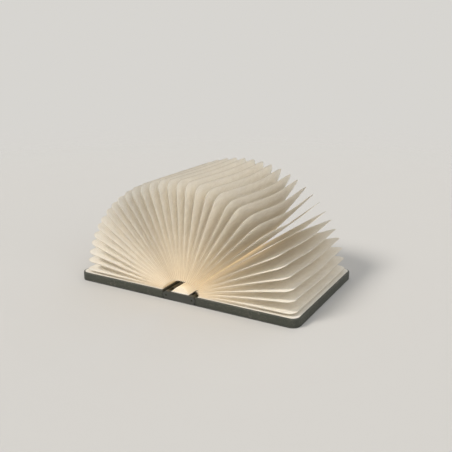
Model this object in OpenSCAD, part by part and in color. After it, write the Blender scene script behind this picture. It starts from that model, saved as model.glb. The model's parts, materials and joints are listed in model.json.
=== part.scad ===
// Folding book lamp: two cover boards hinged on a spine case, and a fan of paper leaves between them.
// It lies open on its back. X runs across the open covers, Y along the spine, Z up.
// The origin is on the surface that it lies on, under the middle of the spine.

/* [Covers] */
// Width of one cover board, from its hinge edge to its outer edge
cover_w = 85; // [70:1:110]
// Length of the covers and the spine
lamp_l = 118; // [106:1:150]
// Thickness of a cover board, without its veneer
board_t = 6.4; // [6:0.1:8]
// Thickness of the outer veneer
veneer_t = 0.6; // [0.4:0.1:1]
// Radius of the covers' outer corners
corner_r = 7; // [3:0.5:12]
// Thickness of the paper lining inside each cover
lining_t = 0.2; // [0.1:0.05:0.4]
// Margin of bare board around the lining
lining_margin = 1.4; // [0.8:0.1:3]

/* [Spine] */
// Width of the spine case over its rounded edges
spine_w = 30; // [28:0.5:36]
// Clearance between the spine's rounded edge and a cover
fold_gap = 0.1; // [0.05:0.05:0.2]
// Width of the seam between the veneers at each fold
seam_w = 0.2; // [0.1:0.05:0.5]
// Thickness of the spine case's floor
floor_t = 1; // [0.8:0.1:1.2]
// Thickness of the spine case's end walls
end_t = 2; // [1.5:0.1:3]
// Width of the hollow in the spine case
hollow_w = 15.2; // [14.8:0.1:15.8]
// Thickness of the case's lid
lid_t = 1; // [0.8:0.1:1.2]
// Width of the step that the lid rests on
lid_step = 0.6; // [0.4:0.1:0.8]
// Clearance around a piece that is let into another
fit_gap = 0.1; // [0.05:0.05:0.15]

/* [Fan of leaves] */
// Number of folded leaves, an odd number
leaf_count = 33; // [21:2:33]
// Angle of the outermost leaves from upright, with the lamp open
fan_angle = 88.5; // [80:0.5:89]
// Distance of a leaf's inner fold from the line that it turns about
leaf_root_r = 9; // [8:0.25:9.5]
// Distance of a leaf's outer fold from the line that it turns about
leaf_tip_r = 88.4; // [60:0.2:90]
// Thickness of a leaf at its outer fold
leaf_tip_t = 0.24; // [0.15:0.01:0.3]
// Space between two leaves with the lamp shut
leaf_gap = 0.1; // [0.05:0.01:0.15]
// Height of the line that the leaves turn about over the lining, with the lamp open
leaf_lift = 0.5; // [0.4:0.05:1]
// Distance of the leaves from each end of the covers
leaf_inset = 2.2; // [1:0.1:5]
// Radius of a leaf's outer corners
leaf_corner_r = 7; // [4:0.5:14]

/* [Hinges] */
// Width of a hinge lug along the spine
lug_w = 5; // [3:0.25:7]
// Thickness of the spine's end outside each lug
lug_inset = 4; // [3:0.25:6]
// Depth of a lug's tang in its cover board
tang_l = 9; // [6:0.5:14]
// Thickness of a lug's tang
tang_t = 3.6; // [2.5:0.1:4]
// Radius of a hinge pin
pin_r = 0.8; // [0.6:0.05:1]
// Length of a hinge pin
pin_l = 14; // [12:0.5:18]
// Running clearance around a hinge pin in its lug
pin_gap = 0.05; // [0.02:0.01:0.1]

/* [Light and battery] */
// Width of the diffuser
diffuser_w = 15; // [13:0.25:15.6]
// Height of the diffuser over the lid
diffuser_h = 4.3; // [3.5:0.1:4.5]
// Wall of the diffuser
diffuser_t = 1; // [0.6:0.1:1.4]
// Distance of the diffuser from each end of the spine
diffuser_inset = 3; // [2.5:0.5:6]
// Width of the light board
strip_w = 9; // [7:0.5:10]
// Thickness of the light board
strip_t = 1; // [0.6:0.1:1.6]
// Distance of the light board from each end of the diffuser
strip_inset = 5; // [3:0.5:8]
// Number of light chips
chip_count = 12; // [6:1:16]
// Length of a light chip along the spine
chip_l = 3.5; // [2:0.1:4]
// Width of a light chip
chip_w = 2.8; // [1.5:0.1:4]
// Height of a light chip
chip_h = 0.7; // [0.4:0.1:1]
// Distance from the leads' holes to the middle of the nearest light chip
chip_end = 4; // [3:0.5:8]
// Length of the battery cell
cell_l = 60; // [40:1:64]
// Width of the battery cell
cell_w = 14.6; // [10:0.1:14.7]
// Length of the charging board
board_l = 19; // [17:0.5:20]
// Width of the charging board
charge_w = 14; // [12:0.5:14.5]
// Thickness of the charging board
charge_t = 0.8; // [0.6:0.1:1]
// Height of the feet under the charging board
foot_h = 0.4; // [0.2:0.1:0.6]
// Radius of the feet under the charging board
foot_r = 1; // [0.6:0.1:1.5]
// Radius of a lead's insulation
lead_r = 0.5; // [0.3:0.05:0.6]
// Distance of each lead from the middle of the spine
lead_x = 1.6; // [1.2:0.1:2.5]
// Distance of the leads' holes from the end of the light board
lead_end = 2; // [1.5:0.1:3]
// Length of each lead that lies on the charging board
lead_lap = 2; // [1:0.1:3]

/* [Charge port] */
// Width of the port's shell
port_w = 8.94; // [8.9:0.02:9.1]
// Height of the port's shell
port_h = 3.2; // [3.1:0.02:3.3]
// Depth of the port's shell
port_l = 7.3; // [6:0.1:8.5]
// Wall of the port's shell
port_wall = 0.3; // [0.2:0.05:0.35]
// Width of the tongue in the port
tongue_w = 6.7; // [6:0.1:7]
// Thickness of the tongue in the port
tongue_t = 0.7; // [0.5:0.05:0.8]
// Distance of the tongue's tip from the port's mouth
tongue_recess = 0.8; // [0.5:0.1:1.5]
// Depth of the block that closes the port
port_back = 2; // [1:0.1:2.5]
// Radius of the charging light's pipe
pipe_r = 0.8; // [0.6:0.05:0.9]
// Distance of the charging light from the middle of the spine
pipe_x = 6.2; // [6:0.1:6.4]
// Length of the charging light's pipe inside the end wall
pipe_in = 1.5; // [0.5:0.1:2.5]

/* [Magnets and screws] */
// Radius of a cover magnet
magnet_r = 4; // [3:0.25:5]
// Thickness of a cover magnet
magnet_t = 2.5; // [1.5:0.1:3.5]
// Distance of a cover magnet from the cover's outer edge and end
magnet_edge = 11; // [8:0.5:16]
// Radius of the magnet that works the lid switch
trigger_r = 2.5; // [1.5:0.25:3]
// Radius of the glass lid switch
reed_r = 0.9; // [0.6:0.05:1.2]
// Length of the glass lid switch
reed_l = 7; // [5:0.5:10]
// Radius of a lid screw's shank
screw_r = 0.75; // [0.6:0.05:0.9]
// Radius of a lid screw's head
screw_head_r = 1.45; // [1.2:0.05:1.5]
// Height of a lid screw's head
screw_head_h = 0.6; // [0.4:0.1:0.7]
// Length of a lid screw under its head
screw_l = 4; // [3:0.1:4.2]
// Radius of a screw post in the spine case
post_r = 1.6; // [1.4:0.05:1.7]

/* [Hidden] */
$fn = 64;

// hinge lines and the spine's section
edge_r = board_t / 2 - fold_gap;
hinge_x = spine_w / 2 - edge_r;
hinge_z = veneer_t + board_t / 2;
case_z0 = hinge_z - edge_r;
case_z1 = hinge_z + edge_r;
half_l = lamp_l / 2;

// covers
cover_x0 = hinge_x + board_t / 2;
cover_x1 = cover_x0 + cover_w;
board_top = veneer_t + board_t;
lining_top = board_top + lining_t;

// hollow of the spine case
floor_z = case_z0 + floor_t;
lid_z = case_z1 - lid_t;
hollow_h = lid_z - floor_z;
hollow_half = half_l - end_t;
post_x = hollow_w / 2 - post_r - fit_gap;
near_post_y = -(hollow_half - post_r - fit_gap);
cell_y0 = near_post_y + post_r + fit_gap;
cell_y1 = cell_y0 + cell_l;
board_y1 = hollow_half - fit_gap;
board_y0 = board_y1 - board_l;
far_post_y = board_y0 - post_r - fit_gap;
reed_y = (cell_y1 + far_post_y - post_r) / 2;

// charge port, on the charging board
port_z = floor_z + hollow_h / 2;
charge_z = floor_z + foot_h;
port_y1 = half_l;
port_y0 = port_y1 - port_l;

// leaves
shut_half = hinge_x - board_t / 2 - lining_t;
leaf_pitch = 2 * shut_half / (leaf_count + 0.4);
leaf_root_t = leaf_pitch - leaf_gap;
leaf_z = lining_top + leaf_lift;
leaf_half_l = half_l - leaf_inset;
function leaf_name(k) = str("leaf_", k < 10 ? "0" : "", k);
function leaf_side(k) = k - (leaf_count + 1) / 2;
function leaf_x(k) = leaf_side(k) * leaf_pitch;
function leaf_angle(k) = leaf_side(k) * 2 * fan_angle / (leaf_count - 1);

// light
diffuser_half = half_l - diffuser_inset;
strip_half = diffuser_half - strip_inset;
arch_r = (pow(diffuser_w / 2, 2) + pow(diffuser_h, 2)) / (2 * diffuser_h);
arch_z = case_z1 + diffuser_h - arch_r;
lug_y = half_l - lug_inset - lug_w / 2;
lead_drop_y = strip_half - lead_end;

SPINE_NODES = ["spine_case", "spine_lid", "spine_veneer", "lid_screws", "hinge_pins", "battery_cell",
    "charging_board", "charge_port", "port_tongue", "charge_light", "reed_switch", "light_board",
    "light_chips", "lead_positive", "lead_negative", "diffuser"];
COVER_NODES = ["front_board", "front_veneer", "front_lining", "front_lugs", "front_magnets",
    "trigger_magnet", "back_board", "back_veneer", "back_lining", "back_lugs", "back_magnets"];
LEAF_NODES = [for (k = [1:leaf_count]) leaf_name(k)];

// ---- shared shapes ----

// a bar along Y, centred on (x, z), that spans y0 to y1
module rod_y(x, z, y0, y1, r) {
    translate([x, y1, z]) rotate([90, 0, 0]) cylinder(r = r, h = y1 - y0);
}

// a block given by its lowest and highest corners
module block(low, high) {
    translate(low) cube(high - low);
}

// plan of a cover, grown by a margin that may be negative, with rounded outer corners
module cover_plan(x0, x1, half, r) {
    translate([x0, -half]) square([x1 - r - x0, 2 * half]);
    translate([x0, -(half - r)]) square([x1 - x0, 2 * (half - r)]);
    for (side = [-1, 1]) translate([x1 - r, side * (half - r)]) circle(r = r);
}

// a flat oval bar along Y
module oval_y(w, h, z, y0, y1) {
    for (side = [-1, 1]) rod_y(side * (w - h) / 2, z, y0, y1, h / 2);
    block([-(w - h) / 2, y0, z - h / 2], [(w - h) / 2, y1, z + h / 2]);
}

// ---- covers, drawn on the +X side and mirrored for the front ----

module magnet_places() {
    for (side = [-1, 1])
        translate([cover_x1 - magnet_edge, side * (half_l - magnet_edge), board_top - magnet_t])
            children();
}

module trigger_place() {
    translate([cover_x0 + 2 * trigger_r, reed_y, board_top - magnet_t]) children();
}

module lug_places() {
    for (side = [-1, 1]) translate([hinge_x, side * lug_y, hinge_z]) children();
}

module cover_board(trigger) {
    difference() {
        translate([0, 0, veneer_t]) linear_extrude(board_t) cover_plan(cover_x0, cover_x1, half_l, corner_r);
        magnet_places() cylinder(r = magnet_r + fit_gap, h = magnet_t + 1);
        if (trigger) trigger_place() cylinder(r = trigger_r + fit_gap, h = magnet_t + 1);
        lug_places() block([0, -lug_w / 2 - fit_gap, -tang_t / 2 - fit_gap],
            [board_t / 2 + tang_l + fit_gap, lug_w / 2 + fit_gap, tang_t / 2 + fit_gap]);
    }
}

module cover_veneer() {
    linear_extrude(veneer_t) cover_plan(hinge_x + seam_w / 2, cover_x1, half_l, corner_r);
}

module cover_lining() {
    translate([0, 0, board_top]) linear_extrude(lining_t)
        cover_plan(cover_x0 + lining_margin, cover_x1 - lining_margin, half_l - lining_margin,
            corner_r - lining_margin);
}

module cover_magnets() {
    magnet_places() cylinder(r = magnet_r, h = magnet_t);
}

module cover_lugs() {
    lug_places() difference() {
        union() {
            rod_y(0, 0, -lug_w / 2, lug_w / 2, edge_r - fit_gap);
            block([0, -lug_w / 2, -tang_t / 2], [board_t / 2 + tang_l, lug_w / 2, tang_t / 2]);
        }
        rod_y(0, 0, -lug_w, lug_w, pin_r + pin_gap);
    }
}

module front_board() { color("#3b3a36") mirror([1, 0, 0]) cover_board(true); }
module front_veneer() { color("#46443d") mirror([1, 0, 0]) cover_veneer(); }
module front_lining() { color("#efe9da") mirror([1, 0, 0]) cover_lining(); }
module front_lugs() { color("#2a2a2a") mirror([1, 0, 0]) cover_lugs(); }
module front_magnets() { color("silver") mirror([1, 0, 0]) cover_magnets(); }
module trigger_magnet()
    color("silver") mirror([1, 0, 0]) trigger_place() cylinder(r = trigger_r, h = magnet_t);
module back_board() { color("#3b3a36") cover_board(false); }
module back_veneer() { color("#46443d") cover_veneer(); }
module back_lining() { color("#efe9da") cover_lining(); }
module back_lugs() { color("#2a2a2a") cover_lugs(); }
module back_magnets() { color("silver") cover_magnets(); }

// ---- spine ----

module post_places() {
    for (x = [-post_x, post_x]) for (y = [near_post_y, far_post_y]) translate([x, y, 0]) children();
}

module lead_places() {
    for (x = [-lead_x, lead_x]) translate([x, lead_drop_y, 0]) children();
}

module spine_case() {
    color("#38362f") difference() {
        union() {
            block([-hinge_x, -half_l, case_z0], [hinge_x, half_l, case_z1]);
            for (side = [-1, 1]) rod_y(side * hinge_x, hinge_z, -half_l, half_l, edge_r);
        }
        // hollow, with the screw posts left standing
        difference() {
            block([-hollow_w / 2, -hollow_half, floor_z], [hollow_w / 2, hollow_half, case_z1 + 1]);
            post_places() translate([0, 0, floor_z - 1]) cylinder(r = post_r, h = lid_z - floor_z + 1);
        }
        // step for the lid
        block([-hollow_w / 2 - lid_step, -hollow_half - lid_step, lid_z],
            [hollow_w / 2 + lid_step, hollow_half + lid_step, case_z1 + 1]);
        post_places() translate([0, 0, lid_z + lid_t - screw_head_h - screw_l])
            cylinder(r = screw_r + fit_gap / 5, h = screw_l + 1);
        // slots for the lugs and bores for their pins
        for (x = [-1, 1]) for (y = [-1, 1]) {
            translate([x * hinge_x, y * lug_y, hinge_z]) mirror([x > 0 ? 0 : 1, 0, 0])
                block([-edge_r - fit_gap, -lug_w / 2 - fit_gap, -2 * edge_r],
                    [2 * edge_r, lug_w / 2 + fit_gap, 2 * edge_r]);
            translate([0, y > 0 ? half_l - pin_l : -half_l, 0])
                rod_y(x * hinge_x, hinge_z, 0, pin_l, pin_r + fit_gap / 5);
        }
        oval_y(port_w + 2 * fit_gap, port_h + 2 * fit_gap, port_z, hollow_half - 1, half_l + 1);
        rod_y(pipe_x, port_z, hollow_half - 1, half_l + 1, pipe_r + fit_gap / 2);
    }
}

module spine_lid() {
    lid_w = hollow_w / 2 + lid_step - fit_gap;
    lid_half = hollow_half + lid_step - fit_gap;
    color("#e6e3da") difference() {
        block([-lid_w, -lid_half, lid_z], [lid_w, lid_half, case_z1]);
        post_places() translate([0, 0, lid_z - 1]) cylinder(r = screw_r + fit_gap, h = lid_t + 2);
        post_places() translate([0, 0, case_z1 - screw_head_h])
            cylinder(r = screw_head_r + fit_gap, h = screw_head_h + 1);
        lead_places() translate([0, 0, lid_z - 1]) cylinder(r = lead_r + fit_gap, h = lid_t + 2);
    }
}

module spine_veneer() {
    color("#46443d") block([-hinge_x + seam_w / 2, -half_l, 0], [hinge_x - seam_w / 2, half_l, case_z0]);
}

module lid_screws() {
    color("#9a9a9c") post_places() {
        translate([0, 0, case_z1 - screw_head_h]) cylinder(r = screw_head_r, h = screw_head_h);
        translate([0, 0, case_z1 - screw_head_h - screw_l]) cylinder(r = screw_r, h = screw_l);
    }
}

module hinge_pins() {
    color("#4c4c4e") for (x = [-hinge_x, hinge_x]) {
        rod_y(x, hinge_z, half_l - pin_l, half_l, pin_r);
        rod_y(x, hinge_z, -half_l, pin_l - half_l, pin_r);
    }
}

module battery_cell() {
    color("#b9bcc2") block([-cell_w / 2, cell_y0, floor_z], [cell_w / 2, cell_y1, lid_z - fit_gap]);
}

// the board stands on feet, and is cut out for the port at its end
module charging_board() {
    color("#1f5a37") {
        difference() {
            block([-charge_w / 2, board_y0, charge_z], [charge_w / 2, board_y1, charge_z + charge_t]);
            block([-port_w / 2 - fit_gap, port_y0 - fit_gap, floor_z],
                [port_w / 2 + fit_gap, half_l, case_z1]);
        }
        for (x = [-1, 1]) for (y = [board_y0 + foot_r, board_y1 - foot_r])
            translate([x * (charge_w / 2 - foot_r), y, floor_z]) cylinder(r = foot_r, h = foot_h);
    }
}

module charge_port() {
    color("#a8a9ad") difference() {
        oval_y(port_w, port_h, port_z, port_y0, port_y1);
        oval_y(port_w - 2 * port_wall, port_h - 2 * port_wall, port_z, port_y0 - 1, port_y1 + 1);
    }
}

module port_tongue() {
    color("#1b1b1c") {
        oval_y(port_w - 2 * port_wall - fit_gap, port_h - 2 * port_wall - fit_gap, port_z,
            port_y0, port_y0 + port_back);
        block([-tongue_w / 2, port_y0 + port_back, port_z - tongue_t / 2],
            [tongue_w / 2, port_y1 - tongue_recess, port_z + tongue_t / 2]);
    }
}

module charge_light() {
    color("#f4f4f0") rod_y(pipe_x, port_z, hollow_half - pipe_in, half_l, pipe_r);
}

module reed_switch() {
    color("#cfe0dc") rod_y(fit_gap + reed_r - hollow_w / 2, floor_z + reed_r, reed_y - reed_l / 2,
        reed_y + reed_l / 2, reed_r);
}

module light_board() {
    color("#f2f2ee") difference() {
        block([-strip_w / 2, -strip_half, case_z1], [strip_w / 2, strip_half, case_z1 + strip_t]);
        lead_places() cylinder(r = lead_r + fit_gap, h = 2 * case_z1);
    }
}

module light_chips() {
    step = 2 * (lead_drop_y - chip_end) / (chip_count - 1);
    color("#f6e48a") for (i = [0:chip_count - 1])
        translate([0, (i - (chip_count - 1) / 2) * step, case_z1 + strip_t + chip_h / 2])
            cube([chip_w, chip_l, chip_h], center = true);
}

// a lead from the cell to the charging board, and one from that board up to the light board
module lead(x) {
    rod_y(x, charge_z + charge_t + lead_r, cell_y1, board_y0 + lead_lap, lead_r);
    translate([x, lead_drop_y, charge_z + charge_t])
        cylinder(r = lead_r, h = case_z1 + strip_t - charge_z - charge_t);
}

module lead_positive() { color("#b3261e") lead(lead_x); }
module lead_negative() { color("#222222") lead(-lead_x); }

module diffuser() {
    inner_r = arch_r - diffuser_t;
    color("#fbf7ea") intersection() {
        block([-diffuser_w, -diffuser_half, case_z1], [diffuser_w, diffuser_half, case_z1 + 2 * diffuser_h]);
        difference() {
            rod_y(0, arch_z, -half_l, half_l, arch_r);
            rod_y(0, arch_z, -diffuser_half + diffuser_t, diffuser_half - diffuser_t, inner_r);
        }
    }
}

// ---- leaves ----

// side of a leaf: its inner fold is straight and its two outer corners are rounded
module leaf_side_outline() {
    steps = 4;
    mid = leaf_tip_r - leaf_corner_r;
    corner = [for (i = [0:steps]) leaf_corner_r * [sin(90 * i / steps), cos(90 * i / steps)]];
    right = [for (i = [0:steps]) [leaf_half_l - leaf_corner_r + corner[i].x, mid + corner[i].y]];
    left = [for (i = [steps:-1:0]) [-right[i].x, right[i].y]];
    polygon(concat(left, right, [[leaf_half_l, leaf_root_r], [-leaf_half_l, leaf_root_r]]));
}

// a leaf stands upright over the line that it turns about, and tapers to its outer fold
module leaf_blank() {
    intersection() {
        rotate([90, 0, 90]) linear_extrude(2 * leaf_root_t, center = true) leaf_side_outline();
        rotate([90, 0, 0]) linear_extrude(2 * leaf_half_l, center = true)
            polygon([[-leaf_root_t / 2, leaf_root_r], [leaf_root_t / 2, leaf_root_r],
                [leaf_tip_t / 2, leaf_tip_r], [-leaf_tip_t / 2, leaf_tip_r]]);
    }
}

module leaf(k) {
    color(k % 2 == 0 ? "#f6f1e2" : "#e9e2cf")
        translate([leaf_x(k), 0, leaf_z]) rotate([0, leaf_angle(k), 0]) leaf_blank();
}

spine_case();
spine_lid();
spine_veneer();
lid_screws();
hinge_pins();
battery_cell();
charging_board();
charge_port();
port_tongue();
charge_light();
reed_switch();
light_board();
light_chips();
lead_positive();
lead_negative();
diffuser();
front_board();
front_veneer();
front_lining();
front_lugs();
front_magnets();
trigger_magnet();
back_board();
back_veneer();
back_lining();
back_lugs();
back_magnets();
for (k = [1:leaf_count]) leaf(k);
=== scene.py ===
"""Looks of a folding book lamp: wooden covers, a spine case and a fan of folded paper leaves."""

import json
import math
import random
from collections import namedtuple

import bpy
from bpy.props import FloatProperty, FloatVectorProperty, IntProperty, PointerProperty
from mathutils import Matrix, Vector


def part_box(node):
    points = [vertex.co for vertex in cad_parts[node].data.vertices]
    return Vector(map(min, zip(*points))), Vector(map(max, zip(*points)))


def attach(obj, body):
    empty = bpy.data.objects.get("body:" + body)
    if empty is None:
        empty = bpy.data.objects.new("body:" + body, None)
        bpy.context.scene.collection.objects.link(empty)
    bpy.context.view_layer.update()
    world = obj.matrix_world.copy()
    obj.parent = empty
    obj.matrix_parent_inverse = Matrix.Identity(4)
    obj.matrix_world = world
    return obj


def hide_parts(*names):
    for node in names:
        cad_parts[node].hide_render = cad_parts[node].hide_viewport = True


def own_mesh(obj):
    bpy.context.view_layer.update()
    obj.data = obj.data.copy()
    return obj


bl_info = {
    "name": "Folding Book Lamp",
    "version": (1, 0, 0),
    "blender": (4, 5, 0),
    "location": "View3D > Sidebar > Book Lamp",
    "description": "Dresses a folding book lamp: wooden covers, a spine with its light, and paper leaves",
    "category": "Object",
}

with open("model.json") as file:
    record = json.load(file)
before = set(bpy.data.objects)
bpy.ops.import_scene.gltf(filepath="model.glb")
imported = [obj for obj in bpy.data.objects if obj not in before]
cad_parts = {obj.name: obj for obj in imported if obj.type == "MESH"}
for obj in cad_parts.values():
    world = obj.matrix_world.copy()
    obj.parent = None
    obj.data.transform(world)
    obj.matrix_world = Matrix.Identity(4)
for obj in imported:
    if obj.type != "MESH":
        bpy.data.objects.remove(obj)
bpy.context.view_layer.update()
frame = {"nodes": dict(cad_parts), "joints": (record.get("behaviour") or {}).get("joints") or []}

NODES = frame["nodes"]
JOINTS = {joint["name"]: joint for joint in frame["joints"]}
LEAF_NODES = sorted(name for name in NODES if name.startswith("leaf_"))
MIDDLE_LEAF = LEAF_NODES[len(LEAF_NODES) // 2]
LEADING_JOINT = "front_cover_hinge"  # the joint that moves by itself, and that all the others follow
MM = 0.001

SMOOTH_BELOW = math.radians(32)  # faces that meet at a smaller angle are shaded as one
CORNER_STEPS = 10  # steps round each corner of a plate
RIM_STEPS = 4  # steps over each rounded edge of a plate
FINEST = 0.02 * MM  # smallest radius that a corner keeps when its outline is set in

SHEET_ROWS = 12  # rows of points from a leaf's inner fold towards its outer one
ROW_CROWDING = 0.85  # below 1, the rows come closer together towards the outer fold
FOLD_ROWS = (0.978, 0.992, 1.0)  # the last rows, which make the outer fold round
CORNER_TURNS = (12, 24, 36, 48, 58, 68, 79, 90)  # degrees round a leaf's outer corner
STRAIGHT_STEPS = 16  # steps along a leaf between its corners
FOLD_DEPTH = 2.2  # sheets of paper between the inside and the outside of an outer fold
RIPPLES = ((46, 1.0), (103, 0.5), (210, 0.3))  # each ripple's radians per metre and its share
RIPPLE_SPREAD = (0.5, 1.3)  # the least and the most that a leaf's ripple is scaled by
OUTER_FREEDOM = 0.2  # share of the small differences that the leaves beside the covers keep
FREEDOM_STEP = 0.4  # how much more each leaf further in keeps, up to all of them
PAPER_STOCK = 3.0  # metres of paper each way that the leaves are cut from, so that no two look alike

FLOOR_SIDES = 96
FLOOR_FADE = (0.15, 0.95)  # shares of the floor's reach where it starts and ends to fade


# ---- values that a user may change ----


class LampCoverSettings(bpy.types.PropertyGroup):
    """Shape and finish of the covers and the spine"""

    wood: FloatVectorProperty(
        name="Wood", description="Colour of the stained veneer",
        subtype="COLOR", size=3, default=(0.044, 0.046, 0.036), min=0, max=1)
    grain: FloatVectorProperty(
        name="Grain", description="Colour of the open grain in the veneer",
        subtype="COLOR", size=3, default=(0.016, 0.017, 0.014), min=0, max=1)
    # The edge tone goes on the rounded rims of the boards and veneers. It is wear, and also a painted
    # highlight where the rims catch the light.
    edge_tone: FloatVectorProperty(
        name="Worn Edge", description="Colour of the wood where its edges are rubbed",
        subtype="COLOR", size=3, default=(0.17, 0.152, 0.12), min=0, max=1)
    core: FloatVectorProperty(
        name="Core", description="Colour of the boards' dyed edges",
        subtype="COLOR", size=3, default=(0.038, 0.0405, 0.029), min=0, max=1)
    case: FloatVectorProperty(
        name="Case", description="Colour of the spine case",
        subtype="COLOR", size=3, default=(0.050, 0.052, 0.043), min=0, max=1)
    lid: FloatVectorProperty(
        name="Lid", description="Colour of the lid on the spine case, under the light",
        subtype="COLOR", size=3, default=(0.78, 0.76, 0.70), min=0, max=1)
    corner: FloatProperty(
        name="Corner", description="Radius of the covers' outer corners",
        unit="LENGTH", default=7 * MM, min=1 * MM, max=12 * MM)
    square_corner: FloatProperty(
        name="Square Corner", description="Radius of the corners beside the spine",
        unit="LENGTH", default=0.4 * MM, min=0.1 * MM, max=1 * MM, precision=5)
    board_rim: FloatProperty(
        name="Board Rounding", description="Radius of the boards' sanded edges",
        unit="LENGTH", default=0.6 * MM, min=0.1 * MM, max=1.5 * MM, precision=5)
    veneer_rim: FloatProperty(
        name="Veneer Rounding", description="Radius of the veneer's edges",
        unit="LENGTH", default=0.22 * MM, min=0.05 * MM, max=0.28 * MM, precision=5)
    wear_and_highlight_width: FloatProperty(
        name="Wear Width", description="How far the rubbed edge fades into the face",
        unit="LENGTH", default=1.6 * MM, min=0.2 * MM, max=5 * MM, precision=5)


class LampLeafSettings(bpy.types.PropertyGroup):
    """Shape and finish of the paper leaves"""

    paper: FloatVectorProperty(
        name="Paper", description="Colour of the spun-fibre paper",
        subtype="COLOR", size=3, default=(0.90, 0.85, 0.75), min=0, max=1)
    fibre: FloatVectorProperty(
        name="Fibre", description="Colour of the denser fibres in the paper",
        subtype="COLOR", size=3, default=(0.70, 0.63, 0.52), min=0, max=1)
    sheet: FloatProperty(
        name="Sheet", description="Thickness of one sheet of the paper",
        unit="LENGTH", default=0.11 * MM, min=0.05 * MM, max=0.15 * MM, precision=5)
    corner: FloatProperty(
        name="Corner", description="Radius of a leaf's outer corners",
        unit="LENGTH", default=7 * MM, min=2 * MM, max=14 * MM)
    fold_gap: FloatProperty(
        name="Inner Fold Gap", description="Gap between two leaves at their inner folds",
        unit="LENGTH", default=0.02 * MM, min=0.0, max=0.2 * MM, precision=5)
    belly: FloatProperty(
        name="Belly", description="How far a leaf's two sheets bow apart",
        unit="LENGTH", default=0.18 * MM, min=0.0, max=0.4 * MM, precision=5)
    droop: FloatProperty(
        name="Droop", description="How far the flattest leaves sag at their outer fold",
        unit="LENGTH", default=0.65 * MM, min=0.0, max=0.8 * MM, precision=5)
    lean: FloatProperty(
        name="Lean", description="How far a leaf's outer fold may stray from its even place",
        unit="LENGTH", default=0.6 * MM, min=0.0, max=0.8 * MM, precision=5)
    bow: FloatProperty(
        name="Bow", description="How far the middle of a leaf may bend to one side",
        unit="LENGTH", default=0.35 * MM, min=0.0, max=0.6 * MM, precision=5)
    wave: FloatProperty(
        name="Wave", description="How far all the leaves swing to and fro together along their length",
        unit="LENGTH", default=1.3 * MM, min=0.0, max=1.5 * MM, precision=5)
    ripple: FloatProperty(
        name="Ripple", description="Height of the slow ripple along a leaf's outer fold",
        unit="LENGTH", default=0.22 * MM, min=0.0, max=0.4 * MM, precision=5)
    # The edge colour is painted shade. Over the edge width it darkens the leaves' ends and outer folds,
    # standing for the lines of shade between the leaves.
    edge: FloatVectorProperty(
        name="Edge", description="Colour of the handled edges and outer folds",
        subtype="COLOR", size=3, default=(0.50, 0.42, 0.31), min=0, max=1)
    edge_width: FloatProperty(
        name="Edge Width", description="How far the handled edges fade into a leaf",
        unit="LENGTH", default=1.1 * MM, min=0.1 * MM, max=4 * MM, precision=5)
    shut_share: FloatProperty(
        name="Shut Share", description="Share of its room that a leaf fills in the shut lamp",
        subtype="FACTOR", default=0.6, min=0.3, max=0.95)
    seed: IntProperty(
        name="Seed", description="Seed of the leaves' small differences", default=257, min=0)


class LampLightSettings(bpy.types.PropertyGroup):
    """Finish of the diffuser and its light"""

    glow: FloatVectorProperty(
        name="Glow", description="Colour of the warm light",
        subtype="COLOR", size=3, default=(1.0, 0.79, 0.52), min=0, max=1)
    glow_pale: FloatVectorProperty(
        name="Pale Glow", description="Colour of the light that reaches the leaves' outer folds",
        subtype="COLOR", size=3, default=(1.0, 0.86, 0.66), min=0, max=1)
    glow_strength: FloatProperty(
        name="Glow Strength", description="Strength of the light at the diffuser",
        default=0.44, min=0.0, max=20.0)
    through_root: FloatProperty(
        name="Light At Root", description="Light that comes through the leaves at their inner folds",
        default=0.20, min=0.0, max=5.0)
    through_tip: FloatProperty(
        name="Light At Tip", description="Light that comes through the leaves at their outer folds",
        default=0.03, min=0.0, max=5.0)
    opal: FloatVectorProperty(
        name="Opal", description="Colour of the diffuser",
        subtype="COLOR", size=3, default=(0.58, 0.54, 0.46), min=0, max=1)


class LampStageSettings(bpy.types.PropertyGroup):
    """Floor, lights and camera"""

    floor: FloatVectorProperty(
        name="Floor", description="Colour of the floor",
        subtype="COLOR", size=3, default=(0.62, 0.60, 0.565), min=0, max=1)
    floor_reach: FloatProperty(
        name="Floor Reach", description="Distance over which the floor fades into the backdrop",
        unit="LENGTH", default=1.2, min=0.5, max=10.0)
    backdrop: FloatVectorProperty(
        name="Backdrop", description="Colour seen behind the floor",
        subtype="COLOR", size=3, default=(0.68, 0.665, 0.635), min=0, max=1)
    sky: FloatVectorProperty(
        name="Sky", description="Colour of the even light from all round",
        subtype="COLOR", size=3, default=(0.92, 0.95, 1.0), min=0, max=1)
    ambient: FloatProperty(
        name="Even Light", description="Strength of the even light from all round",
        default=0.36, min=0.0, max=2.0)
    key: FloatProperty(
        name="Key Light", description="Strength of the main light, from the front left",
        default=2.2, min=0.0, max=10.0)
    fill: FloatProperty(
        name="Fill Light", description="Strength of the wide light from the right",
        default=0.9, min=0.0, max=10.0)
    rear: FloatProperty(
        name="Rear Light", description="Strength of the wide light from behind",
        default=0.45, min=0.0, max=10.0)
    azimuth: FloatProperty(
        name="Azimuth", description="Direction of the camera round the lamp",
        subtype="ANGLE", default=math.radians(29.3))
    elevation: FloatProperty(
        name="Elevation", description="Height of the camera over the floor, as an angle",
        subtype="ANGLE", default=math.radians(16.7))
    distance: FloatProperty(
        name="Distance", description="Distance of the camera from the middle of the lamp's underside",
        unit="LENGTH", default=0.541, min=0.1, max=5.0)
    aim_across: FloatProperty(
        name="Aim Across", description="Shift of the camera to its right",
        unit="LENGTH", default=0.0081)
    aim_up: FloatProperty(
        name="Aim Up", description="Shift of the camera upwards",
        unit="LENGTH", default=0.0448)
    lens: FloatProperty(
        name="Lens", description="Focal length of the camera",
        unit="CAMERA", default=50.1, min=10.0, max=300.0)


SETTINGS = {
    "lamp_covers": LampCoverSettings,
    "lamp_leaves": LampLeafSettings,
    "lamp_light": LampLightSettings,
    "lamp_stage": LampStageSettings,
}


# ---- making meshes ----


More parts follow.
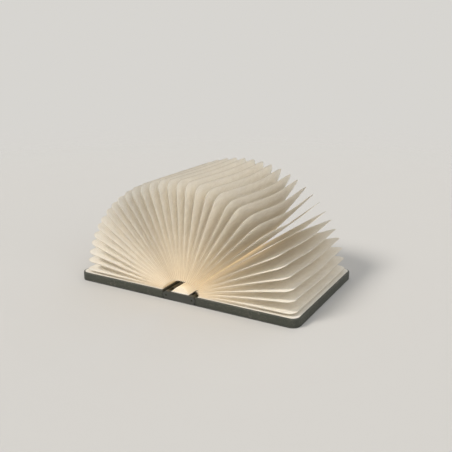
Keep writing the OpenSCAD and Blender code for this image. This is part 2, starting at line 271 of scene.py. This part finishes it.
def new_piece(name, points, faces, mirror=False):
    """A mesh object from points and faces, mirrored across the spine if asked."""
    if mirror:
        points = [(-x, y, z) for x, y, z in points]
        faces = [tuple(reversed(face)) for face in faces]
    mesh = bpy.data.meshes.new(name)
    mesh.from_pydata(points, [], faces)
    mesh.validate()
    mesh.polygons.foreach_set("use_smooth", [True] * len(mesh.polygons))
    mesh.set_sharp_from_angle(angle=SMOOTH_BELOW)
    piece = bpy.data.objects.new(name, mesh)
    bpy.context.scene.collection.objects.link(piece)
    return piece


def mark(piece, name, values):
    """Keeps a value under a name for each point of a piece, for its material to read."""
    piece.data.attributes.new(name, "FLOAT", "POINT").data.foreach_set("value", values)


def grid_faces(rows, columns, start=0, flip=False):
    """Quads between neighbouring points of a grid, numbered row by row."""
    faces = []
    for i in range(rows - 1):
        for j in range(columns - 1):
            a = start + i * columns + j
            face = (a, a + 1, a + columns + 1, a + columns)
            faces.append(tuple(reversed(face)) if flip else face)
    return faces


def shell_faces(rows, columns):
    """Faces of a thin closed shell: a grid for its outside, one for its inside, and the rim between them."""
    count = rows * columns
    faces = grid_faces(rows, columns) + grid_faces(rows, columns, count, flip=True)
    for j in range(columns - 1):
        first, last = j, (rows - 1) * columns + j
        faces.append((first + 1, first, first + count, first + 1 + count))
        faces.append((last, last + 1, last + 1 + count, last + count))
    for i in range(rows - 1):
        first, last = i * columns, i * columns + columns - 1
        faces.append((first, first + columns, first + columns + count, first + count))
        faces.append((last + columns, last, last + count, last + columns + count))
    return faces


def plate_outline(low, high, outer, inner, inset):
    """Points round a plate's plan, set in by a margin. Its outer and inner corners have their own radii."""
    corners = [
        (high.x - outer, high.y - outer, outer, 0),
        (low.x + inner, high.y - inner, inner, 90),
        (low.x + inner, low.y + inner, inner, 180),
        (high.x - outer, low.y + outer, outer, 270),
    ]
    outline = []
    for x, y, radius, start in corners:
        reach = max(radius - inset, FINEST)
        slide = max(inset - radius, 0.0)
        middle = math.radians(start + 45)
        for step in range(CORNER_STEPS + 1):
            turn = math.radians(start + 90 * step / CORNER_STEPS)
            outline.append((
                x + reach * math.cos(turn) - math.copysign(slide, math.cos(middle)),
                y + reach * math.sin(turn) - math.copysign(slide, math.sin(middle)),
            ))
    return outline


def plate(name, box, outer, inner, rim, wear_and_highlight_width, mirror=False):
    """A flat plate with rounded corners and rounded edges, marked with how much paler tone each point takes:
    wear, and a painted highlight round the rims.
    """
    low, high = box
    bend = [math.radians(90 * step / RIM_STEPS) for step in range(RIM_STEPS + 1)]
    # The mark is strongest halfway round each rounded rim. There the paler tone is wear and a painted
    # highlight.
    bottom = [(rim * (1 - math.sin(a)), low.z + rim * (1 - math.cos(a)), math.sin(2 * a)) for a in bend]
    top = [(inset, low.z + high.z - z, wear_and_highlight) for inset, z, wear_and_highlight in reversed(bottom)]
    rings = [(rim + wear_and_highlight_width, low.z, 0.0)] + bottom + top + [(rim + wear_and_highlight_width, high.z, 0.0)]
    points, edge_tone, faces = [], [], []
    for inset, z, wear_and_highlight in rings:
        outline = plate_outline(low, high, outer, inner, inset)
        points += [(x, y, z) for x, y in outline]
        edge_tone += [wear_and_highlight] * len(outline)
    count = len(points) // len(rings)
    for i in range(len(rings) - 1):
        for j in range(count):
            a, b = i * count + j, i * count + (j + 1) % count
            faces.append((a, b, b + count, a + count))
    faces.append(tuple(reversed(range(count))))
    faces.append(tuple(range(len(points) - count, len(points))))
    piece = new_piece(name, points, faces, mirror)
    mark(piece, "edge_tone", edge_tone)
    return piece


# ---- making materials ----


# sockets of a Mix node for colours, whose inputs share their names with those for numbers
MIX_SHARE, MIX_FIRST, MIX_SECOND, MIX_RESULT = 0, 6, 7, 2

SMALL_ROUNDING = 0.15 * MM  # radius at which the edges of small moulded and metal parts catch the light


def shade(colour, factor):
    """A colour made darker or paler by a factor."""
    return tuple(min(1.0, value * factor) for value in colour)


def fill(tree, socket, value):
    """Links a node's output to a socket, or sets the socket to a number, vector or colour."""
    if isinstance(value, bpy.types.NodeSocket):
        tree.links.new(value, socket)
    elif socket.type == "RGBA":
        socket.default_value = (*value, 1.0)
    else:
        socket.default_value = value


def add_node(tree, kind, inputs, output=0, **settings):
    """Adds a node, fills its inputs by name or number, and gives back one of its outputs."""
    node = tree.nodes.new(kind)
    for name, value in settings.items():
        setattr(node, name, value)
    for name, value in inputs.items():
        fill(tree, node.inputs[name], value)
    return node.outputs[output]


class Finish:
    """A procedural material, built one node at a time around its shader."""

    def __init__(self, name, colour, roughness=0.5, metallic=0.0):
        self.material = bpy.data.materials.new(name)
        self.material.use_nodes = True
        self.tree = self.material.node_tree
        self.shader = self.tree.nodes["Principled BSDF"]
        self.set({"Base Color": colour, "Roughness": roughness, "Metallic": metallic})

    def set(self, values):
        """Fills inputs of the shader by name."""
        for name, value in values.items():
            fill(self.tree, self.shader.inputs[name], value)
        return self

    def add(self, kind, inputs, output=0, **settings):
        """Adds a node to the material, and gives back one of its outputs."""
        return add_node(self.tree, kind, inputs, output, **settings)

    def place(self, scale=(1.0, 1.0, 1.0), source="Object"):
        """Coordinates with a scale for each axis. A small one draws a pattern out along its axis."""
        coordinates = self.add("ShaderNodeTexCoord", {}, output=source)
        return self.add("ShaderNodeMapping", {"Vector": coordinates, "Scale": scale})

    def noise(self, where, scale, detail=4.0, roughness=0.5, distortion=0.0):
        """Smooth random values from 0 to 1, with about so many features to the metre."""
        return self.add("ShaderNodeTexNoise", {
            "Vector": where, "Scale": scale, "Detail": detail,
            "Roughness": roughness, "Distortion": distortion})

    def marked(self, name):
        """The value that the mesh keeps under a name for each of its points."""
        return self.add("ShaderNodeAttribute", {}, output="Fac", attribute_name=name)

    def band(self, value, low, high, to_low=0.0, to_high=1.0):
        """Maps a range of a value to another range, clamped."""
        return self.add("ShaderNodeMapRange", {
            "Value": value, "From Min": low, "From Max": high, "To Min": to_low, "To Max": to_high})

    def mix(self, share, first, second):
        """The first colour with a share of the second in it."""
        return self.add("ShaderNodeMix", {MIX_SHARE: share, MIX_FIRST: first, MIX_SECOND: second},
                        output=MIX_RESULT, data_type="RGBA")

    def calculate(self, operation, first, second=0.0):
        """A calculation with one or two values."""
        return self.add("ShaderNodeMath", {0: first, 1: second}, operation=operation)

    def rub_and_highlight(self, tone, colour, start, strength, scale, patchy):
        """Wears a tone down to a paler colour, in patches, where the mesh is marked on its rims. This is
        wear, and also a painted highlight along the rims.
        """
        patches = self.band(self.noise(self.place(), scale, detail=5.0, roughness=0.6), *patchy)
        rubbed_and_highlighted = self.calculate("MULTIPLY", self.band(self.marked("edge_tone"), start, 1.0), patches)
        return self.mix(self.calculate("MULTIPLY", rubbed_and_highlighted, strength), tone, colour)

    def bump(self, height, strength, distance, rounding=0.0):
        """Small relief; with a rounding, edges also catch the light as if rounded to that radius."""
        relief = {"Height": height, "Strength": strength, "Distance": distance}
        if rounding:
            relief["Normal"] = self.add("ShaderNodeBevel", {"Radius": rounding})
        return self.set({"Normal": self.add("ShaderNodeBump", relief)})


def veneer_finish(name, covers):
    """Stained open-grain veneer: long streaks, short pores along the grain, and paler edges that are wear and
    a painted highlight.
    """
    finish = Finish(name, covers.wood)
    grain = finish.place((1.0, 0.045, 1.0))
    streaks = finish.noise(grain, 420.0, detail=6.0, roughness=0.62, distortion=0.35)
    broad = finish.noise(finish.place((1.0, 0.18, 1.0)), 34.0, detail=3.0, distortion=0.8)
    pores = finish.noise(finish.place((1.0, 0.07, 1.0)), 1500.0, detail=2.0, roughness=0.4)
    pores = finish.band(pores, 0.60, 0.68)
    tone = finish.mix(finish.band(streaks, 0.36, 0.64), covers.grain, covers.wood)
    tone = finish.mix(finish.band(broad, 0.42, 0.72, to_high=0.6), tone, shade(covers.wood, 1.75))
    tone = finish.mix(finish.calculate("MULTIPLY", pores, 0.75), tone, covers.grain)
    # Paler rims: wear, and a painted highlight where the rims catch the light.
    tone = finish.rub_and_highlight(tone, covers.edge_tone, start=0.55, strength=0.8, scale=260.0, patchy=(0.42, 0.66))
    finish.set({
        "Base Color": tone,
        "Roughness": finish.band(streaks, 0.3, 0.7, to_low=0.52, to_high=0.36),
        "Coat Weight": 0.12,
        "Coat Roughness": 0.35,
    })
    height = finish.calculate("SUBTRACT", finish.calculate("MULTIPLY", streaks, 0.5), pores)
    return finish.bump(height, strength=0.35, distance=0.06 * MM).material


def core_finish(name, covers):
    """Dyed fibreboard: fine speckle, faint layers, paler edges that are wear and a painted highlight, and
    sparse pale flecks.
    """
    finish = Finish(name, covers.core)
    where = finish.place()
    pale = shade(covers.core, 1.4)
    speckle = finish.noise(where, 2600.0, detail=3.0, roughness=0.6)
    clouds = finish.noise(where, 90.0, roughness=0.55)
    layers = finish.noise(finish.place((0.05, 0.05, 1.0)), 1400.0, detail=3.0)
    tone = finish.mix(finish.band(speckle, 0.35, 0.7), covers.core, pale)
    tone = finish.mix(finish.band(clouds, 0.4, 0.7, to_high=0.35), tone, covers.grain)
    tone = finish.mix(finish.band(layers, 0.45, 0.75, to_high=0.3), tone, pale)
    # Paler rims: wear, and a painted highlight where the rims catch the light.
    tone = finish.rub_and_highlight(tone, covers.edge_tone, start=0.7, strength=0.45, scale=300.0, patchy=(0.44, 0.68))
    flecks = finish.noise(finish.place((0.6, 0.6, 1.0)), 780.0, detail=3.0, roughness=0.6, distortion=0.3)
    flecks = finish.band(flecks, 0.555, 0.625)
    sparse = finish.band(finish.noise(where, 80.0, detail=3.0), 0.41, 0.62, to_low=0.08, to_high=0.46)
    finish.set({
        "Base Color": finish.mix(finish.calculate("MULTIPLY", flecks, sparse), tone, covers.edge_tone),
        "Roughness": finish.band(speckle, 0.3, 0.7, to_low=0.62, to_high=0.5),
    })
    height = finish.calculate("SUBTRACT", speckle, flecks)
    return finish.bump(height, strength=0.2, distance=0.03 * MM).material


def paper_finish(name, leaves, light=None):
    """Spun-fibre paper, cloudy with crossing fibres. On leaves it also has painted shade along its ends and
    outer fold, and a glow.
    """
    finish = Finish(name, leaves.paper)
    where = finish.place(source="UV" if light else "Object")
    clouds = finish.noise(where, 150.0, detail=5.0, roughness=0.6, distortion=0.6)
    swirls = finish.noise(where, 380.0, detail=3.0, roughness=0.55, distortion=2.2)
    strands = finish.calculate("ABSOLUTE", finish.calculate("SUBTRACT", swirls, 0.5))
    fibres = finish.band(strands, 0.0, 0.05, to_low=1.0, to_high=0.0)
    fine = finish.noise(where, 1500.0, detail=2.0, distortion=1.2)
    tone = finish.mix(finish.band(clouds, 0.35, 0.7, to_high=0.42), leaves.paper, leaves.fibre)
    tone = finish.mix(finish.calculate("MULTIPLY", fibres, 0.40), tone, leaves.fibre)
    tone = finish.mix(finish.band(fine, 0.5, 0.75, to_high=0.2), tone, leaves.fibre)
    if light:
        # Painted shade: the leaf's ends and outer fold are darkened towards the edge colour, in cloudy
        # patches, standing for the lines of shade between the leaves.
        shade_painted = finish.band(clouds, 0.3, 0.7, to_low=0.9, to_high=0.5)
        edge_tone = finish.calculate("MULTIPLY", finish.calculate("POWER", finish.marked("rim"), 1.5), shade_painted)
        tone = finish.mix(edge_tone, tone, leaves.edge)
        near = finish.band(finish.marked("reach"), 0.0, 1.0, to_low=1.0, to_high=0.0)
        near = finish.calculate("POWER", near, 2.4)
        glow = finish.band(near, 0.0, 1.0, light.through_tip, light.through_root)
        cloudy = finish.band(clouds, 0.3, 0.7, to_low=1.15, to_high=0.8)
        finish.set({
            "Subsurface Weight": 0.12,
            "Subsurface Radius": (1.0, 0.82, 0.6),
            "Subsurface Scale": 0.4 * MM,
            "Emission Color": finish.mix(near, light.glow_pale, light.glow),
            "Emission Strength": finish.calculate("MULTIPLY", glow, cloudy),
        })
    finish.set({
        "Base Color": tone,
        "Roughness": finish.band(clouds, 0.3, 0.7, to_low=0.55, to_high=0.7),
        "Sheen Weight": 0.05,
    })
    height = finish.calculate("ADD", finish.calculate("MULTIPLY", fibres, 0.6), fine)
    return finish.bump(height, strength=0.25, distance=0.05 * MM).material


def plastic_finish(name, colour, roughness=0.5, grain=1800.0, relief=0.12):
    """Moulded plastic with a fine spark-eroded texture and a little unevenness of tone."""
    finish = Finish(name, colour)
    where = finish.place()
    texture = finish.noise(where, grain, detail=2.0)
    clouds = finish.noise(where, 70.0, detail=3.0)
    finish.set({
        "Base Color": finish.mix(finish.band(clouds, 0.35, 0.7), colour, shade(colour, 0.82)),
        "Roughness": finish.band(clouds, 0.3, 0.7, roughness - 0.06, roughness + 0.08),
    })
    return finish.bump(texture, relief, 0.03 * MM, SMALL_ROUNDING).material


def metal_finish(name, colour, roughness, along=(1.0, 0.04, 1.0)):
    """Drawn or turned metal with fine lines along it, and a little tarnish."""
    finish = Finish(name, colour, metallic=1.0)
    lines = finish.noise(finish.place(along), 2400.0, detail=3.0, roughness=0.6)
    tarnish = finish.noise(finish.place(), 160.0, roughness=0.6)
    finish.set({
        "Base Color": finish.mix(finish.band(tarnish, 0.45, 0.75), colour, shade(colour, 0.7)),
        "Roughness": finish.band(lines, 0.3, 0.7, roughness - 0.08, roughness + 0.12),
    })
    return finish.bump(lines, 0.1, 0.02 * MM, SMALL_ROUNDING).material


def opal_finish(name, light):
    """Opal diffuser, lit evenly from inside, with the faint draw lines of its extrusion."""
    finish = Finish(name, light.opal, roughness=0.42)
    lines = finish.noise(finish.place((1.0, 0.02, 1.0)), 1600.0, detail=2.0)
    finish.set({
        "Base Color": finish.mix(finish.band(lines, 0.35, 0.65), light.opal, shade(light.opal, 0.93)),
        "Subsurface Weight": 0.4,
        "Subsurface Radius": (1.0, 0.9, 0.75),
        "Subsurface Scale": 1.5 * MM,
        "Emission Color": light.glow,
        "Emission Strength": light.glow_strength,
    })
    return finish.bump(lines, strength=0.08, distance=0.02 * MM, rounding=0.3 * MM).material


def phosphor_finish(name, light):
    """The yellow coating of the light chips, lit from below."""
    finish = Finish(name, (0.90, 0.74, 0.28), roughness=0.35)
    finish.set({"Emission Color": light.glow, "Emission Strength": light.glow_strength})
    grain = finish.noise(finish.place(), 3000.0, detail=2.0)
    return finish.bump(grain, strength=0.2, distance=0.02 * MM).material


def board_finish(name, colour, pad):
    """Solder-masked board with rows of small bright pads."""
    finish = Finish(name, colour, roughness=0.35)
    cells = finish.add("ShaderNodeTexVoronoi", {"Vector": finish.place(), "Scale": 420.0, "Randomness": 0.35})
    pads = finish.band(cells, 0.24, 0.30, to_low=1.0, to_high=0.0)
    tracks = finish.band(finish.noise(finish.place((1.0, 0.25, 1.0)), 520.0, detail=0.0), 0.50, 0.53)
    tone = finish.mix(tracks, colour, shade(colour, 0.8))
    finish.set({"Base Color": finish.mix(finish.calculate("MULTIPLY", pads, 0.6), tone, pad)})
    return finish.bump(tracks, strength=0.2, distance=0.04 * MM).material


def dress(material, *node_names):
    """Gives CAD nodes a material."""
    for name in node_names:
        mesh = NODES[name].data
        mesh.materials.clear()
        mesh.materials.append(material)


# ---- pieces ----


def rigid_piece(piece, material, body, node):
    """Finishes a piece, lets it ride on its body and lets it stand for its node."""
    piece.data.materials.append(material)
    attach(piece, body)
    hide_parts(node)


class LAMP_OT_covers(bpy.types.Operator):
    """Make both covers: their boards, their veneers and the paper inside them"""

    bl_idname = "lamp.covers"
    bl_label = "Covers"

    def execute(self, context):
        covers = context.scene.lamp_covers
        wood = veneer_finish("stained_veneer", covers)
        core = core_finish("dyed_core", covers)
        for side, mirror in (("front", True), ("back", False)):
            for part, rim, material, slot in (
                ("board", covers.board_rim, core, "cover_core"),
                ("veneer", covers.veneer_rim, wood, "veneer"),
            ):
                piece = plate(f"{side}_cover_{part}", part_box(f"back_{part}"), covers.corner,
                              covers.square_corner, rim, covers.wear_and_highlight_width, mirror)
                rigid_piece(piece, material, f"{side}_cover", f"{side}_{part}")
        dress(paper_finish("lining_paper", context.scene.lamp_leaves), "front_lining", "back_lining")
        return {"FINISHED"}


class LAMP_OT_spine(bpy.types.Operator):
    """Make the spine's veneer, and finish the spine case, its lid and its hinges"""

    bl_idname = "lamp.spine"
    bl_label = "Spine"

    def execute(self, context):
        covers = context.scene.lamp_covers
        piece = plate("spine_skin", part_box("spine_veneer"), covers.square_corner, covers.square_corner,
                      covers.veneer_rim, covers.wear_and_highlight_width)
        wood = bpy.data.materials.get("stained_veneer") or veneer_finish("stained_veneer", covers)
        rigid_piece(piece, wood, "spine", "spine_veneer")
        dress(plastic_finish("case_plastic", covers.case), "spine_case")
        dress(plastic_finish("lid_plastic", covers.lid, roughness=0.55), "spine_lid")
        dress(metal_finish("dark_steel", shade(covers.core, 1.2), roughness=0.42),
              "front_lugs", "back_lugs", "hinge_pins")
        dress(metal_finish("zinc_steel", (0.62, 0.62, 0.63), roughness=0.32), "lid_screws")
        return {"FINISHED"}


class LAMP_OT_light(bpy.types.Operator):
    """Finish the diffuser, the light board and its chips"""

    bl_idname = "lamp.light"
    bl_label = "Light"

    def execute(self, context):
        light = context.scene.lamp_light
        dress(opal_finish("opal_diffuser", light), "diffuser")
        dress(board_finish("white_board", (0.82, 0.82, 0.80), pad=(0.75, 0.70, 0.45)), "light_board")
        dress(phosphor_finish("phosphor", light), "light_chips")
        return {"FINISHED"}


class LAMP_OT_inner_parts(bpy.types.Operator):
    """Finish the battery, the charging parts, the leads, the switch and the magnets"""

    bl_idname = "lamp.inner_parts"
    bl_label = "Inner Parts"

    def execute(self, context):
        foil = metal_finish("cell_foil", (0.70, 0.71, 0.73), roughness=0.36, along=(0.3, 0.3, 1.0))
        dress(foil, "battery_cell")
        dress(board_finish("green_board", (0.03, 0.16, 0.08), pad=(0.72, 0.62, 0.38)), "charging_board")
        dress(metal_finish("port_steel", (0.64, 0.64, 0.66), roughness=0.26), "charge_port")
        dress(plastic_finish("port_plastic", (0.022, 0.022, 0.023), roughness=0.45), "port_tongue")
        dress(plastic_finish("frosted_pipe", (0.80, 0.80, 0.77), roughness=0.35), "charge_light")
        glass = plastic_finish("switch_glass", (0.55, 0.66, 0.62), roughness=0.12, grain=600.0, relief=0.03)
        dress(glass, "reed_switch")
        dress(plastic_finish("red_insulation", (0.46, 0.035, 0.025), roughness=0.4), "lead_positive")
        dress(plastic_finish("black_insulation", (0.02, 0.02, 0.02), roughness=0.4), "lead_negative")
        nickel = metal_finish("nickel_plate", (0.70, 0.69, 0.66), roughness=0.18, along=(1.0, 1.0, 1.0))
        dress(nickel, "front_magnets", "back_magnets", "trigger_magnet")
        return {"FINISHED"}


# ---- leaves ----


Place = namedtuple("Place", "name tilt pivot joint")


def leaf_places():
    """Each leaf's tilt from upright, the line it turns about and its joint, and the height of those lines."""
    height = JOINTS[f"{LEAF_NODES[0]}_fold"]["pos_m"][2]
    places = []
    for name in LEAF_NODES:
        if name == MIDDLE_LEAF:
            places.append(Place(name, 0.0, Vector((0.0, 0.0, height)), LEADING_JOINT))
        else:
            fold = JOINTS[f"{name}_fold"]
            tilt = -math.radians(sum(fold["range_deg"]))
            places.append(Place(name, tilt, Vector(fold["pos_m"]), fold["name"]))
    return places, height


class Leaf:
    """One leaf's place in the fan and the small differences that are its own.

    Its size is the radii of its inner folds and its outer one, and half its length. Its spacing is the
    room from one leaf to the next at the inner folds, and its freedom the share of the small
    differences that it keeps.
    """

    def __init__(self, leaves, place, size, spacing, freedom, chance):
        self.leaves = leaves
        self.pivot = place.pivot
        self.root_r, self.tip_r, self.half = size
        self.root_half = (spacing - leaves.fold_gap) / 2 - leaves.sheet
        self.out = Vector((math.sin(place.tilt), 0.0, math.cos(place.tilt)))
        self.across = Vector((math.cos(place.tilt), 0.0, -math.sin(place.tilt)))
        self.droop = leaves.droop * math.sin(place.tilt)
        self.lean = freedom * leaves.lean * chance.uniform(-1, 1)
        self.bow = freedom * leaves.bow * chance.uniform(-1, 1)
        self.swing = freedom * leaves.wave
        self.gain = freedom * leaves.ripple * chance.uniform(*RIPPLE_SPREAD)
        self.twist = freedom * leaves.lean * chance.uniform(-0.5, 0.5)
        self.phases = [chance.uniform(0, 2 * math.pi) for _ in RIPPLES]
        self.sheet_start = (chance.uniform(0, PAPER_STOCK), chance.uniform(0, PAPER_STOCK))

    def columns(self):
        """Places along the leaf and its outline's drop there, closer together where its corners are round."""
        corner = self.leaves.corner
        inner = self.half - corner
        turns = [math.radians(degrees) for degrees in CORNER_TURNS]
        round_end = [(inner + corner * math.sin(a), corner * (1 - math.cos(a))) for a in turns]
        straight = [(inner * (2 * i / STRAIGHT_STEPS - 1), 0.0) for i in range(STRAIGHT_STEPS + 1)]
        return [(-along, drop) for along, drop in reversed(round_end)] + straight + round_end

    def ripple(self, along):
        """The slow ripple along the outer fold, from -1 to 1."""
        height = sum(share * math.sin(rate * along + phase)
                     for (rate, share), phase in zip(RIPPLES, self.phases))
        return height / sum(share for rate, share in RIPPLES)

    def point(self, side, skin, along, drop, share):
        """A point of the sheet on one side of the outer fold, on its outside (skin 1) or its inside (-1)."""
        leaves = self.leaves
        reach = self.root_r + (self.tip_r - drop - self.root_r) * share
        climb = (reach - self.root_r) / (self.tip_r - self.root_r)
        spread = self.root_half * (1 - share) + leaves.belly * math.sin(math.pi * share)
        shift = (
            self.droop * climb ** 2
            + self.lean * climb
            + self.bow * math.sin(math.pi * climb)
            + self.twist * climb * along / self.half
            + self.swing * math.sin(math.pi / 2 * climb) * math.cos(math.pi * along / self.half)
            + self.gain * climb ** 1.5 * self.ripple(along)
        )
        lift = side * (spread + leaves.sheet * (1 + skin) / 2)
        if share == 1.0:  # at the outer fold, where both sides meet
            lift = 0.0
            reach -= 0.0 if skin > 0 else FOLD_DEPTH * leaves.sheet
        return self.pivot + self.out * reach + self.across * (shift + lift) + Vector((0.0, along, 0.0))


def leaf_piece(name, leaf):
    """One sheet folded double along its outer edge and open at its inner folds, as a closed thin shell.

    It is marked with its reach, from 0 at its inner folds to 1 at its outer one, and with its rim, which
    is 1 at its two ends and along its outer fold and fades to 0 over the edge width. The rim says where the
    paper takes painted shade.
    """
    shares = [(i / SHEET_ROWS) ** ROW_CROWDING for i in range(SHEET_ROWS)] + list(FOLD_ROWS)
    profile = [(1, share) for share in shares] + [(-1, share) for share in reversed(shares[:-1])]
    columns = leaf.columns()
    points, sheet_places, reaches, rims = [], [], [], []
    for skin in (1, -1):
        for along, drop in columns:
            for side, share in profile:
                points.append(leaf.point(side, skin, along, drop, share))
                sheet_places.append((leaf.sheet_start[0] + along,
                                     leaf.sheet_start[1] + side * leaf.tip_r * share))
                reaches.append((leaf.tip_r - drop) * share / leaf.tip_r)
                # The rim marks the ends and the outer fold, where the paper is darkened with painted shade.
                margin = min(leaf.half - abs(along), (leaf.tip_r - drop - leaf.root_r) * (1 - share))
                rims.append(max(0.0, 1 - margin / leaf.leaves.edge_width))
    piece = new_piece(name, points, shell_faces(len(columns), len(profile)))
    mark(piece, "reach", reaches)
    mark(piece, "rim", rims)
    layer = piece.data.uv_layers.new(name="sheet")
    for loop in piece.data.loops:
        layer.data[loop.index].uv = sheet_places[loop.vertex_index]
    return piece


class LAMP_OT_leaves(bpy.types.Operator):
    """Make the folded paper leaves, each riding on its own body"""

    bl_idname = "lamp.leaves"
    bl_label = "Leaves"

    def execute(self, context):
        leaves = context.scene.lamp_leaves
        paper = paper_finish("leaf_paper", leaves, context.scene.lamp_light)
        places, height = leaf_places()
        low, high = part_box(MIDDLE_LEAF)
        root_r, tip_r, half = low.z - height, high.z - height, high.y
        step = places[1].tilt - places[0].tilt
        pitch = places[1].pivot.x - places[0].pivot.x
        widest = root_r * step + pitch
        chance = random.Random(leaves.seed)
        for number, place in enumerate(places):
            spacing = root_r * step + pitch * math.cos(place.tilt)
            from_cover = min(number, len(places) - 1 - number)
            freedom = min(1.0, OUTER_FREEDOM + FREEDOM_STEP * from_cover) * spacing / widest
            leaf = Leaf(leaves, place, (root_r, tip_r, half), spacing, freedom, chance)
            piece = leaf_piece(f"paper_{place.name}", leaf)
            rigid_piece(piece, paper, place.name, place.name)
            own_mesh(piece)
        return {"FINISHED"}


# ---- stage ----


def direction(azimuth, elevation):
    """The direction of a viewer or a light: azimuth 0 is the front, and both angles are in radians."""
    level = math.cos(elevation)
    return Vector((math.sin(azimuth) * level, -math.cos(azimuth) * level, math.sin(elevation)))


def soft_light(name, azimuth, elevation, spread, strength, colour):
    """A wide, even light that comes from one direction. Its angles are in degrees."""
    light = bpy.data.lights.new(name, "SUN")
    light.energy = strength
    light.angle = math.radians(spread)
    light.color = colour
    lamp = bpy.data.objects.new(name, light)
    toward = direction(math.radians(azimuth), math.radians(elevation))
    lamp.location = toward
    lamp.rotation_mode = "QUATERNION"
    lamp.rotation_quaternion = toward.to_track_quat("Z", "Y")
    bpy.context.scene.collection.objects.link(lamp)


def floor_finish(stage):
    """A matt floor that keeps shadows near the lamp and fades into the backdrop further out."""
    finish = Finish("pale_floor", stage.floor, roughness=0.8)
    where = finish.place()
    finish.bump(finish.noise(where, 900.0, detail=3.0), strength=0.05, distance=0.05 * MM)
    distance = finish.add("ShaderNodeVectorMath", {0: where}, output="Value", operation="LENGTH")
    start, end = (stage.floor_reach * share for share in FLOOR_FADE)
    fade = finish.add("ShaderNodeMapRange", {"Value": distance, "From Min": start, "From Max": end},
                      interpolation_type="SMOOTHERSTEP")
    clear = finish.add("ShaderNodeBsdfTransparent", {})
    faded = finish.add("ShaderNodeMixShader", {0: fade, 1: finish.shader.outputs["BSDF"], 2: clear})
    fill(finish.tree, finish.tree.nodes["Material Output"].inputs["Surface"], faded)
    return finish.material


def pale_world(stage):
    """A soft even light, and a plain pale backdrop where the camera or a reflection sees past the floor."""
    world = bpy.data.worlds.new("studio")
    world.use_nodes = True
    tree = world.node_tree
    tree.nodes.clear()
    path = tree.nodes.new("ShaderNodeLightPath")
    seen = path.outputs["Is Camera Ray"]
    for kind in ("Is Glossy Ray", "Is Transmission Ray"):
        seen = add_node(tree, "ShaderNodeMath", {0: seen, 1: path.outputs[kind]}, operation="MAXIMUM")
    even = add_node(tree, "ShaderNodeBackground", {"Color": stage.sky, "Strength": stage.ambient})
    backdrop = add_node(tree, "ShaderNodeBackground", {"Color": stage.backdrop, "Strength": 1.0})
    chosen = add_node(tree, "ShaderNodeMixShader", {0: seen, 1: even, 2: backdrop})
    output = tree.nodes.new("ShaderNodeOutputWorld")
    fill(tree, output.inputs["Surface"], chosen)
    bpy.context.scene.world = world


def aim_camera(stage):
    """Makes the scene's camera, which looks at a point near the middle of the lamp."""
    back = direction(stage.azimuth, stage.elevation)
    right = Vector((math.cos(stage.azimuth), math.sin(stage.azimuth), 0.0))
    up = back.cross(right)
    data = bpy.data.cameras.new("camera")
    data.lens = stage.lens
    data.clip_start = 10 * MM
    camera = bpy.data.objects.new("camera", data)
    place = back * stage.distance + right * stage.aim_across + up * stage.aim_up
    turn = Matrix((right, up, back)).transposed()
    camera.matrix_world = Matrix.Translation(place) @ turn.to_4x4()
    bpy.context.scene.collection.objects.link(camera)
    bpy.context.scene.camera = camera


class LAMP_OT_stage(bpy.types.Operator):
    """Make the floor, the studio lights and the camera"""

    bl_idname = "lamp.stage"
    bl_label = "Stage"

    def execute(self, context):
        stage = context.scene.lamp_stage
        rim = [2 * math.pi * i / FLOOR_SIDES for i in range(FLOOR_SIDES)]
        points = [(stage.floor_reach * math.cos(a), stage.floor_reach * math.sin(a), 0.0) for a in rim]
        floor = new_piece("floor", points, [tuple(range(len(points)))])
        floor.data.materials.append(floor_finish(stage))
        pale_world(stage)
        soft_light("key", azimuth=-40, elevation=44, spread=18, strength=stage.key,
                   colour=(1.0, 0.97, 0.93))
        soft_light("fill", azimuth=62, elevation=30, spread=60, strength=stage.fill,
                   colour=(0.94, 0.97, 1.0))
        soft_light("back", azimuth=160, elevation=55, spread=70, strength=stage.rear,
                   colour=(1.0, 0.99, 0.97))
        aim_camera(stage)
        context.scene.view_settings.view_transform = "Standard"
        return {"FINISHED"}


class LAMP_PT_panel(bpy.types.Panel):
    """Steps that dress the lamp, and their settings"""

    bl_label = "Book Lamp"
    bl_idname = "LAMP_PT_panel"
    bl_space_type = "VIEW_3D"
    bl_region_type = "UI"
    bl_category = "Book Lamp"

    def draw(self, context):
        for operator in OPERATORS:
            self.layout.operator(operator.bl_idname)
        for name, group in SETTINGS.items():
            box = self.layout.box()
            box.label(text=group.__doc__)
            for setting in group.__annotations__:
                box.prop(getattr(context.scene, name), setting)


OPERATORS = (LAMP_OT_covers, LAMP_OT_spine, LAMP_OT_light, LAMP_OT_inner_parts, LAMP_OT_leaves, LAMP_OT_stage)
CLASSES = (*SETTINGS.values(), *OPERATORS, LAMP_PT_panel)


def register():
    for item in CLASSES:
        bpy.utils.register_class(item)
    for name, group in SETTINGS.items():
        setattr(bpy.types.Scene, name, PointerProperty(type=group))


def unregister():
    for name in SETTINGS:
        delattr(bpy.types.Scene, name)
    for item in reversed(CLASSES):
        bpy.utils.unregister_class(item)


def main():
    register()
    bpy.ops.lamp.covers()
    bpy.ops.lamp.spine()
    bpy.ops.lamp.light()
    bpy.ops.lamp.inner_parts()
    bpy.ops.lamp.leaves()
    bpy.ops.lamp.stage()


if __name__ == "__main__":
    main()
